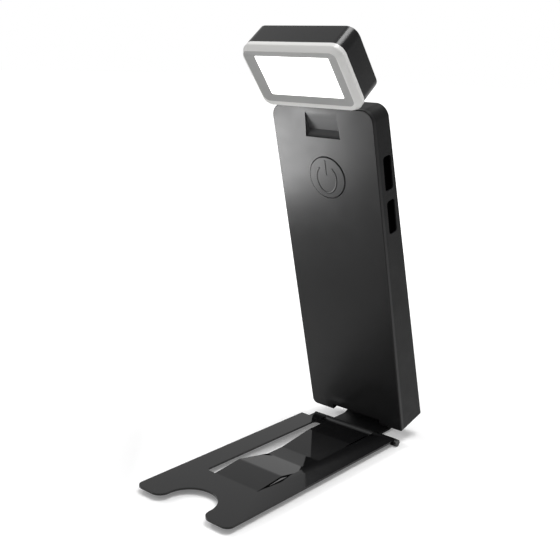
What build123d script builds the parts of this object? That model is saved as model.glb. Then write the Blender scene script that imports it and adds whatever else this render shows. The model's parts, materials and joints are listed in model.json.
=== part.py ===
from build123d import *
from math import atan, cos, degrees, radians, sin
import os

# Clip-on book light: a slim battery case that stands on a hinge leaf, a folding clip plate with a
# spring tongue in front of it, and a lamp head on a short swing neck.
# Millimetres, +X to the light's left-hand key side, -Y to the front, +Z up.
# The origin is the centre of the flat sole of the hinge leaf, on the table.
# Places on the case are (x, depth behind its front face, height above its bottom edge), and
# places on the head are the same from the bottom edge of its face.

# Case
case_width = 48.0
case_height = 140.0
case_depth_bottom = 15.9
case_depth_top = 10.8
case_lean = 15.0
case_wall = 1.5
seam_depth = 1.7
top_corner_radius = 5.0
bottom_left_radius = 2.4
bottom_right_radius = 0.8
inner_corner_radius = 0.6
front_edge_chamfer = 0.3
back_edge_chamfer = 0.7

# Hinge of the clip, rolled from sheet
pin_radius = 0.6
pin_clearance = 0.05
barrel_wall = 0.95
axis_ahead_of_case = 4.91
axis_below_case = 2.39
axis_behind_plate = 4.7
knuckle_gap = 0.3
washer_thickness = 0.2
sole_length = 15.2
leaf_width = 25.0
leaf_thickness = 0.8
leaf_bend_radius = 6.2
leaf_tab_length = 3.4
seat_clearance = 0.1

# Clip plate and its spring tongue
plate_width = 47.0
plate_length = 98.0
sheet_thickness = 0.8
plate_tip_radius = 3.0
finger_notch_radius = 10.3
finger_notch_depth = 15.0
prong_radius = 4.3
plate_height = 2.9
plate_window_left = 13.6
plate_window_right = 13.0
plate_window_radius = 2.0
rail_foot_length = 3.0
tongue_left = 8.9
tongue_slit = 0.25
tongue_length = 71.0
tongue_ridge_at = 57.2
tongue_ridge_height = 1.3
tongue_foot_at = 35.5
tongue_foot_length = 9.0
tongue_end_height = 0.35
tongue_end_at = 13.0
tongue_bend_radius = 5.0
strap_inset_left = 4.2
pin_head_radius = 1.5
pin_head_length = 1.3
pin_head_gap = 0.05

# Recesses of the front cover
base_notch_width = 25.0
base_notch_height = 2.4
base_notch_depth = 4.4
scoop_width_top = 14.6
scoop_width_bottom = 16.4
scoop_depth = 3.0
scoop_top_margin = 2.0
scoop_height = 10.0
scoop_lead = 2.3
scoop_wall = 0.9

# Power button and its switch
button_below_top = 28.0
button_diameter = 17.0
button_gap = 0.15
button_crown = 0.35
button_flange = 0.9
button_flange_thickness = 0.7
button_stem_radius = 1.6
button_stem_length = 0.7
button_travel = 0.5

# Brightness keys on the side
key_length = 13.6
key_width = 5.2
key_corner_radius = 1.3
key_depth = 6.7
upper_key_below_top = 25.8
lower_key_below_top = 43.5
key_gap = 0.15
key_recess = 0.6
key_flange = 0.5
key_flange_thickness = 0.8
key_stem_size = 2.0
key_stem_length = 0.6
key_travel = 0.6
press_slack = 0.1

# Cells, contacts and battery door
cell_count = 3
cell_diameter = 10.4
cell_length = 44.5
cell_nub_radius = 1.9
cell_nub_length = 1.2
cell_gap = 0.5
cell_play = 0.15
bay_floor_height = 5.2
contact_thickness = 0.4
contact_width = 8.4
contact_play = 0.05
spring_length = 4.9
spring_radius = 3.4
spring_wire = 0.6
divider_width = 0.8
divider_depth = 1.7
door_thickness = 1.2
door_lip = 1.0
door_corner_radius = 1.5
door_grip_count = 5
door_grip_pitch = 2.2
door_grip_width = 0.9
door_grip_length = 14.0
door_grip_depth = 0.35
bay_wall = 1.2

# Circuit board and what it carries
board_width = 37.2
board_thickness = 1.0
board_depth = 6.2
board_bay_gap = 3.2
board_neck_gap = 8.7
standoff_size = 3.0
standoff_inset = 4.6
switch_size = 6.0
switch_body_height = 1.8
switch_plunger_radius = 1.7
side_switch_length = 7.0
side_switch_width = 3.6
side_switch_depth = 3.4
side_plunger_length = 0.5
chip_width = 5.0
chip_length = 6.0
chip_thickness = 1.6
chip_x = -4.0
chip_above_board_end = 24.0
inductor_size = 5.0
inductor_thickness = 2.2
inductor_x = 6.0
inductor_above_board_end = 16.0
capacitor_radius = 2.5
capacitor_thickness = 2.6
capacitor_x = -5.0
capacitor_above_board_end = 10.0
resistor_length = 1.6
resistor_width = 0.8
resistor_thickness = 0.6
resistor_pitch_x = 4.0
resistor_pitch_y = 5.0
resistor_rows = 4
resistors_x = 6.0
resistors_above_board_end = 38.0

# Screws that join the two halves of the case
screw_shank_radius = 0.9
screw_head_radius = 1.8
screw_head_height = 0.9
screw_clearance = 0.1
post_half_width = 1.95
post_depth = 5.5
upper_screw_below_top = 11.5
lower_screw_height = 30.0
screw_spacing = 39.8

# Neck
neck_pin_radius = 0.9
knuckle_radius = 2.2
neck_waist = 3.4
neck_width = 9.4
neck_side_gap = 0.3
neck_pin_length = 16.0
neck_axis_depth = 6.7
neck_axis_below_top = 2.6
slot_clearance = 0.3
neck_block_half_width = 8.6
neck_block_wall = 1.2

# Lamp head
head_width = 46.0
head_height = 26.9
head_depth = 14.3
head_tilt = 23.4
head_ahead_of_case = 4.86
head_above_case = 0.8
head_corner_radius = 4.5
head_back_chamfer = 0.7
bezel_depth = 4.0
bezel_rim = 2.1
bezel_edge_chamfer = 1.0
bezel_wall = 1.6
bezel_lip = 1.4
rim_corner_radius = 2.5
window_inset = 4.7
window_depth = 0.8
window_corner_radius = 0.8
housing_wall = 1.4
spigot_thickness = 1.0
spigot_length = 1.0
head_axis_depth = 11.2
head_axis_height = 4.0
slot_front_depth = 5.6
slot_wall = 1.2
diffuser_thickness = 1.2
diffuser_lap = 0.9
window_clearance = 0.1
guide_thickness = 2.0
reflector_thickness = 0.3
stack_gap = 0.05
led_count = 6
led_pitch = 5.6
led_length = 3.0
led_height = 1.0
led_depth = 1.4
led_board_thickness = 0.8
led_board_width = 32.0
led_board_depth = 4.2
head_rib_offset = 13.0
head_rib_thickness = 1.2

# Places worked out from the sizes above
barrel_radius = pin_radius + pin_clearance + barrel_wall
bore_radius = pin_radius + pin_clearance
hinge_y = -sole_length / 2
hinge_z = barrel_radius
plate_top = plate_height
plate_end = hinge_y - axis_behind_plate
plate_tip = plate_end - plate_length
leaf_half = leaf_width / 2
barrel_inner_end = leaf_half + knuckle_gap
plate_half = plate_width / 2
barrel_left_end = plate_half - strap_inset_left
tongue_right = plate_window_right - tongue_slit
tongue_root = plate_end - tongue_length
front_half_width = case_width / 2
inside_half_width = front_half_width - case_wall
cell_radius = cell_diameter / 2
cell_pitch = cell_diameter + cell_gap
cell_depth = case_wall + cell_play + cell_radius
bay_half_width = cell_count * cell_pitch / 2 + cell_play
bay_length = cell_length + spring_length + 2 * (contact_thickness + contact_play)
bay_top = bay_floor_height + bay_length
button_height = case_height - button_below_top
upper_key_height = case_height - upper_key_below_top
lower_key_height = case_height - lower_key_below_top
upper_screw_height = case_height - upper_screw_below_top
neck_axis_height = case_height - neck_axis_below_top
neck_block_bottom = neck_axis_height - knuckle_radius - slot_clearance - neck_block_wall
neck_block_front = neck_axis_depth - knuckle_radius - slot_clearance - neck_block_wall
slot_half_width = neck_width / 2 + neck_side_gap
board_bottom_height = bay_top + bay_wall + board_bay_gap
board_top_height = neck_block_bottom - board_neck_gap
scoop_top = case_height - scoop_top_margin
scoop_bottom = scoop_top - scoop_height
head_lean = case_lean + head_tilt
stack_inset = window_inset - diffuser_lap
stack_back = bezel_lip + diffuser_thickness + guide_thickness + reflector_thickness + 3 * stack_gap
led_bottom = head_height - stack_inset + stack_gap
led_front = bezel_lip + diffuser_thickness + 2 * stack_gap


def depth_at(height):
    """Full depth of the case at a height, front face to back face."""
    return case_depth_bottom + (case_depth_top - case_depth_bottom) * height / case_height


def leaning_planes(origin, lean):
    """Front, side and level planes of a body that leans forward by an angle.

    The front plane has x and height, and looks out of the face. The side plane has depth and
    height, and looks to +X. The level plane has x and depth, and looks up the body.
    """
    back = (0, cos(radians(lean)), sin(radians(lean)))
    up = (0, -sin(radians(lean)), cos(radians(lean)))
    front = Plane(origin=origin, x_dir=(1, 0, 0), z_dir=(0, -back[1], -back[2]))
    side = Plane(origin=origin, x_dir=back, z_dir=(1, 0, 0))
    level = Plane(origin=origin, x_dir=(1, 0, 0), z_dir=up)
    return front, side, level


def box_between(low, high, mode=Mode.ADD):
    """Rectangle between two opposite corners of the sketch being drawn."""
    with Locations(((low[0] + high[0]) / 2, (low[1] + high[1]) / 2)):
        Rectangle(high[0] - low[0], high[1] - low[1], mode=mode)


def case_outline(inset=0.0):
    """Front outline of the case, drawn inwards by an inset."""
    box_between(
        (-front_half_width + inset, inset),
        (front_half_width - inset, case_height - inset),
    )
    fillet(sketch_corners()[2:], max(top_corner_radius - inset, inner_corner_radius))
    fillet(sketch_corners()[0], max(bottom_left_radius - inset, inner_corner_radius))
    fillet(sketch_corners()[1], max(bottom_right_radius - inset, inner_corner_radius))


def sketch_corners():
    """Corners of the sketch being drawn: bottom left, bottom right, then the top ones."""
    rows = BuildSketch._get_context().sketch_local.vertices().group_by(Axis.Y)
    return rows[0].sort_by(Axis.X) + rows[-1].sort_by(Axis.X)


def head_outline(inset=0.0, radius=head_corner_radius, mode=Mode.ADD):
    """Front outline of the lamp head, drawn inwards by an inset."""
    with Locations((0, head_height / 2)):
        RectangleRounded(head_width - 2 * inset, head_height - 2 * inset, radius, mode=mode)


# The case stands over the hinge leaf: its front bottom edge lies behind and above the hinge axis.
lean_cos = cos(radians(case_lean))
lean_sin = sin(radians(case_lean))
case_origin = (
    0,
    hinge_y + axis_ahead_of_case * lean_cos - axis_below_case * lean_sin,
    hinge_z + axis_ahead_of_case * lean_sin + axis_below_case * lean_cos,
)
case_front, case_side, case_level = leaning_planes(case_origin, case_lean)

# The face of the head starts ahead of and above the top front edge of the case.
head_corner = case_side.from_local_coords(
    Vector(-head_ahead_of_case, case_height + head_above_case, 0)
)
head_front, head_side, head_level = leaning_planes(head_corner, head_lean)

os.makedirs("parts", exist_ok=True)


def write(part, name):
    """Label a finished piece and write it as its own file."""
    part.label = name
    export_step(part, "parts/" + name + ".step")


# Side profile of the case between the seam and its tapered back
with BuildPart() as shell_space:
    with BuildSketch(case_side):
        Polygon(
            (seam_depth, -1),
            (depth_at(-1) - case_wall, -1),
            (depth_at(case_height + 1) - case_wall, case_height + 1),
            (seam_depth, case_height + 1),
        )
    extrude(amount=case_width, both=True)

# Hollows of the rear shell: the battery bay, the side channels and the board room
with BuildPart() as shell_hollow:
    with BuildSketch(case_front.offset(-seam_depth)):
        box_between((-inside_half_width, bay_floor_height), (inside_half_width, case_height - case_wall))
        box_between(
            (-bay_half_width - bay_wall, bay_floor_height),
            (bay_half_width + bay_wall, bay_top + bay_wall),
            mode=Mode.SUBTRACT,
        )
        box_between((-bay_half_width, bay_floor_height), (bay_half_width, bay_top))
        box_between(
            (-neck_block_half_width, neck_block_bottom),
            (neck_block_half_width, case_height),
            mode=Mode.SUBTRACT,
        )
        for side in (-1, 1):
            for height in (upper_screw_height, lower_screw_height):
                with Locations((side * screw_spacing / 2, height)):
                    Rectangle(2 * post_half_width, 2 * post_half_width, mode=Mode.SUBTRACT)
    extrude(amount=-case_depth_bottom)
    add(shell_space.part, mode=Mode.INTERSECT)
    # Room for the backing of the thumb scoop, in front of the block that holds the neck
    with BuildSketch(case_front.offset(-seam_depth)):
        box_between(
            (-neck_block_half_width, neck_block_bottom),
            (neck_block_half_width, case_height - case_wall),
        )
    extrude(amount=-(neck_block_front - seam_depth))

# Space of the thumb scoop: its floor slopes in from the top, and a ramp leads out at its foot
with BuildPart() as scoop_space:
    with BuildSketch(case_side):
        Polygon(
            (-case_wall, scoop_top + case_wall),
            (-case_wall, scoop_bottom),
            (0, scoop_bottom),
            (scoop_depth, scoop_bottom + scoop_lead),
            (0, scoop_top),
        )
    extrude(amount=case_width / 2, both=True)
    with BuildSketch(case_front.offset(2 * case_wall)):
        Polygon(
            (-scoop_width_top / 2, scoop_top),
            (-scoop_width_bottom / 2, scoop_bottom),
            (scoop_width_bottom / 2, scoop_bottom),
            (scoop_width_top / 2, scoop_top),
        )
    extrude(amount=-case_depth_bottom, mode=Mode.INTERSECT)

# Front cover: the face and the first millimetres of the sides
with BuildPart() as front_cover:
    with BuildSketch(case_front):
        case_outline()
    extrude(amount=-seam_depth)
    face_edges = front_cover.faces().sort_by(Axis(case_front.origin, case_front.z_dir))[-1].edges()
    chamfer(face_edges, front_edge_chamfer)
    with BuildSketch(case_front.offset(-case_wall)):
        case_outline(case_wall)
        box_between(
            (-front_half_width, 0), (front_half_width, base_notch_height + case_wall), mode=Mode.SUBTRACT
        )
    extrude(amount=-case_depth_bottom, mode=Mode.SUBTRACT)
    # Backing of the thumb scoop, screw posts and dividers between the cells
    with BuildSketch(case_side):
        Polygon(
            (case_wall / 2, scoop_top),
            (case_wall / 2, scoop_bottom - scoop_wall),
            (scoop_depth + scoop_wall, scoop_bottom + scoop_lead - scoop_wall),
            (scoop_depth + scoop_wall, scoop_bottom + scoop_lead),
            (case_wall, scoop_top),
        )
    extrude(amount=scoop_width_bottom / 2 + scoop_wall, both=True)
    with BuildSketch(case_front.offset(-case_wall / 2)):
        for side in (-1, 1):
            for height in (upper_screw_height, lower_screw_height):
                with Locations((side * screw_spacing / 2, height)):
                    Rectangle(2 * post_half_width, 2 * post_half_width)
    extrude(amount=-(post_depth - case_wall / 2))
    with BuildSketch(case_front.offset(-case_wall / 2)):
        for gap in range(1, cell_count):
            divider_x = (gap - cell_count / 2) * cell_pitch
            box_between(
                (divider_x - divider_width / 2, bay_floor_height + case_wall),
                (divider_x + divider_width / 2, bay_top - case_wall),
            )
    extrude(amount=-(case_wall / 2 + divider_depth))
    add(scoop_space.part, mode=Mode.SUBTRACT)
    # Button opening, notch in the bottom edge and screw bores
    with BuildSketch(case_front):
        with Locations((0, button_height)):
            Circle(button_diameter / 2 + button_gap)
        box_between((-base_notch_width / 2, -1), (base_notch_width / 2, base_notch_height))
    extrude(amount=-case_depth_bottom, mode=Mode.SUBTRACT)
    with BuildSketch(case_front.offset(-case_wall / 2)):
        for side in (-1, 1):
            for height in (upper_screw_height, lower_screw_height):
                with Locations((side * screw_spacing / 2, height)):
                    Circle(screw_shank_radius + screw_clearance)
    extrude(amount=-post_depth, mode=Mode.SUBTRACT)
write(front_cover.part, "front_cover")

# Rear shell: the tapered tub with the battery bay, the key openings and the slot of the neck
with BuildPart() as rear_shell:
    with BuildSketch(case_front.offset(-seam_depth)):
        case_outline()
    extrude(amount=-(case_depth_bottom - seam_depth))
    with BuildSketch(case_side):
        Polygon(
            (seam_depth, -1),
            (depth_at(-1), -1),
            (depth_at(case_height + 1), case_height + 1),
            (seam_depth, case_height + 1),
        )
    extrude(amount=case_width, both=True, mode=Mode.INTERSECT)
    back_face = rear_shell.faces().sort_by(Axis(case_front.origin, case_front.z_dir))[0]
    chamfer(back_face.edges(), back_edge_chamfer)
    add(shell_hollow.part, mode=Mode.SUBTRACT)
    # Room for the screw posts of the front cover
    with BuildSketch(case_front):
        for side in (-1, 1):
            for height in (upper_screw_height, lower_screw_height):
                with Locations((side * screw_spacing / 2, height)):
                    Rectangle(
                        2 * (post_half_width + seat_clearance), 2 * (post_half_width + seat_clearance)
                    )
    extrude(amount=-(post_depth + seat_clearance), mode=Mode.SUBTRACT)
    # Standoffs that carry the circuit board
    for side in (-1, 1):
        for height in (board_bottom_height + standoff_inset, board_top_height - standoff_inset):
            with BuildSketch(case_front.offset(-(board_depth + board_thickness))):
                with Locations((side * (board_width / 2 - standoff_inset), height)):
                    Rectangle(standoff_size, standoff_size)
            extrude(amount=-(depth_at(height) - case_wall / 2 - board_depth - board_thickness))
    # Battery opening with the rebate that the door lies in
    with BuildSketch(case_front):
        box_between((-bay_half_width, bay_floor_height), (bay_half_width, bay_top))
    extrude(amount=-2 * case_depth_bottom, mode=Mode.SUBTRACT)
    with BuildSketch(case_side):
        Polygon(
            (depth_at(bay_floor_height - door_lip) - door_thickness, bay_floor_height - door_lip),
            (case_depth_bottom + 1, bay_floor_height - door_lip),
            (case_depth_bottom + 1, bay_top + door_lip),
            (depth_at(bay_top + door_lip) - door_thickness, bay_top + door_lip),
        )
    extrude(amount=bay_half_width + door_lip, both=True, mode=Mode.SUBTRACT)
    # Notch in the bottom edge, and the pocket that the tab of the hinge leaf is pressed into
    with BuildSketch(case_front):
        box_between((-base_notch_width / 2, -1), (base_notch_width / 2, base_notch_height))
    extrude(amount=-base_notch_depth, mode=Mode.SUBTRACT)
    leaf_depth = case_depth_bottom - case_wall - seat_clearance - leaf_thickness / 2
    with BuildSketch(case_side):
        box_between(
            (leaf_depth - leaf_thickness / 2 - seat_clearance, -1),
            (leaf_depth + leaf_thickness / 2 + seat_clearance, leaf_tab_length + seat_clearance),
        )
    extrude(amount=leaf_half + seat_clearance, both=True, mode=Mode.SUBTRACT)
    # Slot of the neck, open at the top and the back, and the bore of its pin
    with BuildSketch(case_side):
        with Locations((neck_axis_depth, neck_axis_height)):
            Circle(knuckle_radius + slot_clearance)
        box_between(
            (neck_axis_depth - knuckle_radius - slot_clearance, neck_axis_height),
            (case_depth_bottom, case_height + 1),
        )
        box_between(
            (neck_axis_depth, neck_axis_height - knuckle_radius - slot_clearance),
            (case_depth_bottom, case_height + 1),
        )
    extrude(amount=slot_half_width, both=True, mode=Mode.SUBTRACT)
    with BuildSketch(case_side):
        with Locations((neck_axis_depth, neck_axis_height)):
            Circle(neck_pin_radius + pin_clearance)
    extrude(amount=neck_pin_length / 2 + seat_clearance, both=True, mode=Mode.SUBTRACT)
    # Openings of the two side keys
    for height in (upper_key_height, lower_key_height):
        with BuildSketch(case_side.offset(inside_half_width - 1)):
            with Locations((key_depth, height)):
                RectangleRounded(key_width, key_length, key_corner_radius)
        extrude(amount=case_width / 2, mode=Mode.SUBTRACT)
    # Screw bores and the counterbores of their heads
    for side in (-1, 1):
        for height in (upper_screw_height, lower_screw_height):
            head_seat = depth_at(height) - screw_head_height - screw_clearance
            with BuildSketch(case_front):
                with Locations((side * screw_spacing / 2, height)):
                    Circle(screw_shank_radius + screw_clearance)
            extrude(amount=-2 * case_depth_bottom, mode=Mode.SUBTRACT)
            with BuildSketch(case_front.offset(-head_seat)):
                with Locations((side * screw_spacing / 2, height)):
                    Circle(screw_head_radius + screw_clearance)
            extrude(amount=-case_depth_bottom, mode=Mode.SUBTRACT)
write(rear_shell.part, "rear_shell")

# Battery door: flush with the tapered back, with grip grooves near its top edge
with BuildPart() as battery_door:
    with BuildSketch(case_front):
        with Locations((0, (bay_floor_height + bay_top) / 2)):
            RectangleRounded(
                2 * (bay_half_width + door_lip - seat_clearance),
                bay_length + 2 * (door_lip - seat_clearance),
                door_corner_radius,
            )
    extrude(amount=-2 * case_depth_bottom)
    with BuildSketch(case_side):
        Polygon(
            (depth_at(0) - door_thickness + seat_clearance, 0),
            (depth_at(0), 0),
            (depth_at(case_height), case_height),
            (depth_at(case_height) - door_thickness + seat_clearance, case_height),
        )
    extrude(amount=case_width, both=True, mode=Mode.INTERSECT)
    with BuildSketch(case_side):
        for groove in range(door_grip_count):
            grip_height = bay_top - door_grip_pitch * (groove + 1)
            with Locations((depth_at(grip_height), grip_height)):
                Rectangle(2 * door_grip_depth, door_grip_width)
    extrude(amount=door_grip_length / 2, both=True, mode=Mode.SUBTRACT)
write(battery_door.part, "battery_door")

# Three cells side by side, each the other way up from its neighbour
with BuildPart() as battery_cells:
    for cell in range(cell_count):
        cell_x = (cell - (cell_count - 1) / 2) * cell_pitch
        way = 1 if cell % 2 == 0 else -1
        bay_middle = (bay_floor_height + bay_top) / 2
        nub_tip = bay_middle + way * (bay_length / 2 - contact_thickness - contact_play)
        cell_plane = Plane(
            origin=case_level.from_local_coords(Vector(cell_x, cell_depth, nub_tip)),
            x_dir=(1, 0, 0),
            z_dir=case_level.z_dir * -way,
        )
        with BuildSketch(cell_plane):
            Circle(cell_nub_radius)
        extrude(amount=cell_nub_length)
        with BuildSketch(cell_plane.offset(cell_nub_length)):
            Circle(cell_radius)
        extrude(amount=cell_length - cell_nub_length)
write(battery_cells.part, "battery_cells")

# Contact plates at both ends of the bay
with BuildPart() as contact_plates:
    for cell in range(cell_count):
        cell_x = (cell - (cell_count - 1) / 2) * cell_pitch
        for plate_height in (bay_floor_height + contact_play, bay_top - contact_play - contact_thickness):
            with BuildSketch(case_level.offset(plate_height)):
                with Locations((cell_x, cell_depth)):
                    Rectangle(contact_width, contact_width)
            extrude(amount=contact_thickness)
write(contact_plates.part, "contact_plates")

# Springs that press on the flat end of each cell, drawn as the hollow tube of their turns
with BuildPart() as battery_springs:
    for cell in range(cell_count):
        cell_x = (cell - (cell_count - 1) / 2) * cell_pitch
        way = 1 if cell % 2 == 0 else -1
        bay_middle = (bay_floor_height + bay_top) / 2
        spring_foot = bay_middle - way * (bay_length / 2 - contact_thickness - 2 * contact_play)
        spring_plane = Plane(
            origin=case_level.from_local_coords(Vector(cell_x, cell_depth, spring_foot)),
            x_dir=(1, 0, 0),
            z_dir=case_front.z_dir,
        )
        spring_tip = way * (spring_length - 3 * contact_play)
        with BuildSketch(spring_plane):
            Polygon(
                (spring_radius - spring_wire, 0),
                (spring_radius, 0),
                (spring_radius, spring_tip),
                (spring_radius - spring_wire, spring_tip),
            )
        revolve(axis=Axis(spring_plane.origin, case_level.z_dir))
write(battery_springs.part, "battery_springs")

# Circuit board with cut-outs at its edge for the two side switches
board_half = board_width / 2
with BuildPart() as circuit_board:
    with BuildSketch(case_front.offset(-board_depth)):
        box_between((-board_half, board_bottom_height), (board_half, board_top_height))
        for height in (upper_key_height, lower_key_height):
            box_between(
                (board_half - side_switch_width + 1, height - side_switch_length / 2 - seat_clearance),
                (board_half + 1, height + side_switch_length / 2 + seat_clearance),
                mode=Mode.SUBTRACT,
            )
    extrude(amount=-board_thickness)
write(circuit_board.part, "circuit_board")

# Tactile switch behind the power button
with BuildPart() as power_switch:
    with BuildSketch(case_front.offset(-board_depth)):
        with Locations((0, button_height)):
            Rectangle(switch_size, switch_size)
    extrude(amount=switch_body_height)
    button_back = case_wall + press_slack + button_flange_thickness + button_stem_length
    plunger_reach = board_depth - switch_body_height - (button_back + button_travel + press_slack)
    with BuildSketch(case_front.offset(-board_depth + switch_body_height)):
        with Locations((0, button_height)):
            Circle(switch_plunger_radius)
    extrude(amount=plunger_reach)
write(power_switch.part, "power_switch")

# Edge switches behind the side keys
key_back = inside_half_width - press_slack - key_flange_thickness - key_stem_length
plunger_tip = key_back - key_travel - press_slack
switch_face = plunger_tip - side_plunger_length
with BuildPart() as side_switches:
    for height in (upper_key_height, lower_key_height):
        with BuildSketch(case_side.offset(board_half - side_switch_width + 1 + seat_clearance)):
            with Locations((key_depth, height)):
                Rectangle(side_switch_depth, side_switch_length)
        extrude(amount=switch_face - (board_half - side_switch_width + 1 + seat_clearance))
        with BuildSketch(case_side.offset(switch_face)):
            with Locations((key_depth, height)):
                Rectangle(key_stem_size, key_stem_size)
        extrude(amount=side_plunger_length)
write(side_switches.part, "side_switches")

# Driver chip on the back of the board
with BuildPart() as driver_chip:
    with BuildSketch(case_front.offset(-(board_depth + board_thickness))):
        with Locations((chip_x, board_bottom_height + chip_above_board_end)):
            Rectangle(chip_width, chip_length)
    extrude(amount=-chip_thickness)
write(driver_chip.part, "driver_chip")

# Inductor, capacitors and resistors of the driver
with BuildPart() as board_parts:
    with BuildSketch(case_front.offset(-(board_depth + board_thickness))):
        with Locations((inductor_x, board_bottom_height + inductor_above_board_end)):
            Rectangle(inductor_size, inductor_size)
    extrude(amount=-inductor_thickness)
    with BuildSketch(case_front.offset(-(board_depth + board_thickness))):
        with Locations((capacitor_x, board_bottom_height + capacitor_above_board_end)):
            Circle(capacitor_radius)
    extrude(amount=-capacitor_thickness)
    with BuildSketch(case_front.offset(-(board_depth + board_thickness))):
        with Locations((resistors_x, board_bottom_height + resistors_above_board_end)):
            with GridLocations(resistor_pitch_x, resistor_pitch_y, 2, resistor_rows):
                Rectangle(resistor_length, resistor_width)
    extrude(amount=-resistor_thickness)
write(board_parts.part, "board_parts")

# Screws, put in from the back into the posts of the front cover
with BuildPart() as case_screws:
    for side in (-1, 1):
        for height in (upper_screw_height, lower_screw_height):
            head_seat = depth_at(height) - screw_head_height
            shank_start = head_seat - screw_clearance
            with BuildSketch(case_front.offset(-shank_start)):
                with Locations((side * screw_spacing / 2, height)):
                    Circle(screw_head_radius)
            extrude(amount=-(screw_head_height - screw_clearance))
            with BuildSketch(case_front.offset(-shank_start)):
                with Locations((side * screw_spacing / 2, height)):
                    Circle(screw_shank_radius)
            extrude(amount=shank_start - case_wall)
write(case_screws.part, "case_screws")

# Power button: a crowned disc with a flange behind the cover
with BuildPart() as power_button:
    with BuildSketch(case_front.offset(-(case_wall + press_slack))):
        with Locations((0, button_height)):
            Circle(button_diameter / 2)
    extrude(amount=case_wall + press_slack + button_crown)
    crown_edge = power_button.faces().sort_by(Axis(case_front.origin, case_front.z_dir))[-1].edges()
    chamfer(crown_edge, button_crown)
    with BuildSketch(case_front.offset(-(case_wall + press_slack))):
        with Locations((0, button_height)):
            Circle(button_diameter / 2 + button_flange)
    extrude(amount=-button_flange_thickness)
    with BuildSketch(case_front.offset(-(case_wall + press_slack + button_flange_thickness))):
        with Locations((0, button_height)):
            Circle(button_stem_radius)
    extrude(amount=-button_stem_length)
write(power_button.part, "power_button")

# Side keys: each a bar in its opening with a flange inside the wall
for key_name, height in (("brightness_up_key", upper_key_height), ("brightness_down_key", lower_key_height)):
    with BuildPart() as key:
        with BuildSketch(case_side.offset(inside_half_width - press_slack)):
            with Locations((key_depth, height)):
                RectangleRounded(key_width - 2 * key_gap, key_length - 2 * key_gap, key_corner_radius - key_gap)
        extrude(amount=case_wall + press_slack - key_recess)
        with BuildSketch(case_side.offset(inside_half_width - press_slack)):
            with Locations((key_depth, height)):
                Rectangle(key_width + 2 * key_flange, key_length + 2 * key_flange)
        extrude(amount=-key_flange_thickness)
        with BuildSketch(case_side.offset(inside_half_width - press_slack - key_flange_thickness)):
            with Locations((key_depth, height)):
                Rectangle(key_stem_size, key_stem_size)
        extrude(amount=-key_stem_length)
    write(key.part, key_name)

# Hinge leaf: rolled round the pin, flat along the table, then bent up into the case
leaf_foot = case_side.from_local_coords(Vector(leaf_depth, leaf_tab_length, 0))
drop = (leaf_foot.Z - leaf_thickness / 2) / lean_cos
heel_y = leaf_foot.Y + drop * lean_sin
with BuildPart() as hinge_leaf:
    with BuildSketch(Plane.YZ):
        with BuildLine():
            FilletPolyline(
                (hinge_y, leaf_thickness / 2),
                (heel_y, leaf_thickness / 2),
                (leaf_foot.Y, leaf_foot.Z),
                radius=leaf_bend_radius,
            )
        trace(line_width=leaf_thickness)
        with Locations((hinge_y, hinge_z)):
            Circle(barrel_radius)
            Circle(bore_radius, mode=Mode.SUBTRACT)
    extrude(amount=leaf_half, both=True)
write(hinge_leaf.part, "hinge_leaf")

# Clip plate: a sheet with a finger notch, a bent spring tongue in its window and two barrels
with BuildPart() as clip_plate:
    with BuildSketch(Plane.XY.offset(plate_top - sheet_thickness)):
        box_between((-plate_half, plate_tip), (plate_half, plate_end))
        fillet(sketch_corners()[:2], plate_tip_radius)
        box_between((-barrel_left_end, plate_end - 1), (-barrel_inner_end, hinge_y))
        box_between((barrel_inner_end, plate_end - 1), (plate_half, hinge_y))
    extrude(amount=sheet_thickness)
    # Finger notch with rounded prongs
    with BuildSketch(Plane.XY):
        with Locations((0, plate_tip + finger_notch_depth - finger_notch_radius)):
            Circle(finger_notch_radius)
        box_between(
            (-finger_notch_radius, plate_tip - 1),
            (finger_notch_radius, plate_tip + finger_notch_depth - finger_notch_radius),
        )
    extrude(amount=plate_top + 1, mode=Mode.SUBTRACT)
    prong_corners = (
        clip_plate.edges()
        .filter_by(Axis.Z)
        .filter_by(lambda edge: abs(edge.center().Y - plate_tip) < 0.01)
        .filter_by(lambda edge: abs(abs(edge.center().X) - finger_notch_radius) < 0.01)
    )
    fillet(prong_corners, prong_radius)
    # Window round the tongue, with feet of the rails at its hinge end
    with BuildSketch(Plane.XY):
        box_between(
            (-plate_window_left, tongue_root),
            (plate_window_right, plate_end - rail_foot_length),
        )
        fillet([sketch_corners()[0], sketch_corners()[2]], plate_window_radius)
        box_between(
            (-tongue_left - tongue_slit, plate_end - 2 * rail_foot_length),
            (plate_window_right, plate_end + 1),
        )
    extrude(amount=plate_top + 1, mode=Mode.SUBTRACT)
    # Spring tongue: up to a ridge, down to a flat foot on the table, and up again
    foot_start = plate_end - tongue_foot_at - tongue_foot_length / 2
    foot_end = plate_end - tongue_foot_at + tongue_foot_length / 2
    middle = sheet_thickness / 2
    with BuildSketch(Plane.YZ.offset(-tongue_left)):
        with BuildLine():
            FilletPolyline(
                (tongue_root - middle, plate_top - middle),
                (tongue_root + middle, plate_top - middle),
                (plate_end - tongue_ridge_at, plate_top + tongue_ridge_height - middle),
                (foot_start, middle),
                (foot_end, middle),
                (plate_end - tongue_end_at, plate_top + tongue_end_height - middle),
                (plate_end, plate_top + tongue_end_height - middle),
                radius=tongue_bend_radius,
            )
        trace(line_width=sheet_thickness)
    extrude(amount=tongue_left + tongue_right)
    # Rolled barrels, one at each side
    for barrel_start, barrel_end in ((-barrel_left_end, -barrel_inner_end), (barrel_inner_end, plate_half)):
        with BuildSketch(Plane.YZ.offset(barrel_start)):
            with Locations((hinge_y, hinge_z)):
                Circle(barrel_radius)
        extrude(amount=barrel_end - barrel_start)
    with BuildSketch(Plane.YZ):
        with Locations((hinge_y, hinge_z)):
            Circle(bore_radius)
    extrude(amount=case_width, both=True, mode=Mode.SUBTRACT)
write(clip_plate.part, "clip_plate")

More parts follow.
